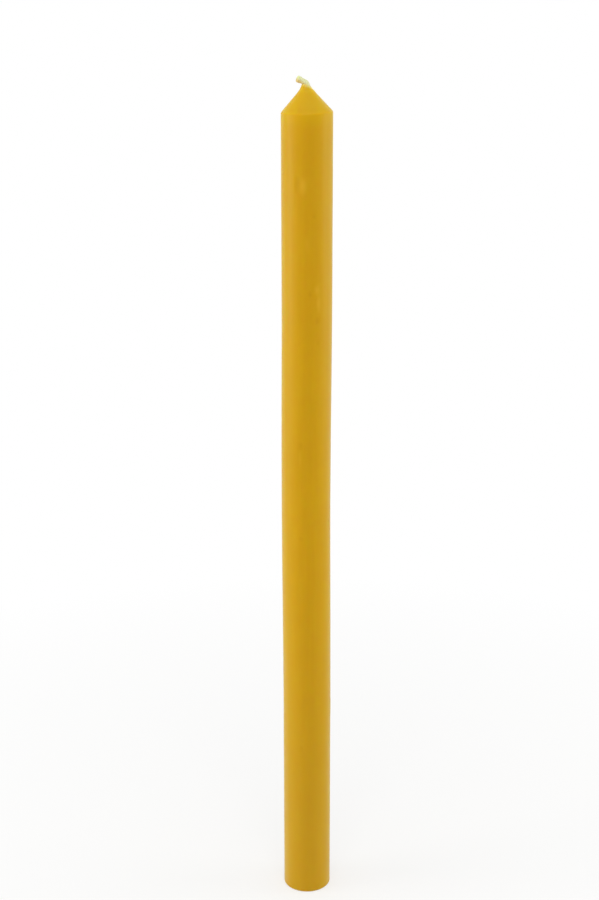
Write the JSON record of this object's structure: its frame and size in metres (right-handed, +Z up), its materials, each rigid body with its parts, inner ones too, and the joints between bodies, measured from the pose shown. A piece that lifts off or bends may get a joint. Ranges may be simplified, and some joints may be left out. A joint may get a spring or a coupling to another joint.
{
  "type": "beeswax candle",
  "caption": "Tall straight dinner candle: a round golden beeswax rod with a conical tip, a flat foot and a braided cotton wick that bends over to one side at the top.",
  "frame": {"origin": "centre of the flat foot, on the candle's axis", "axes": "+Z up along the candle's axis, from the foot to the wick; the wick's free end bends over towards -X, and the plane y = 0 is the part's plane of symmetry"},
  "size_m": [0.022, 0.022, 0.3816],
  "materials": {
    "beeswax": "satin",
    "cotton_wick": "matte"
  },
  "bodies": {
    "root": {"wax_body": "beeswax", "wick": "cotton_wick"}
  },
  "joints": []
}
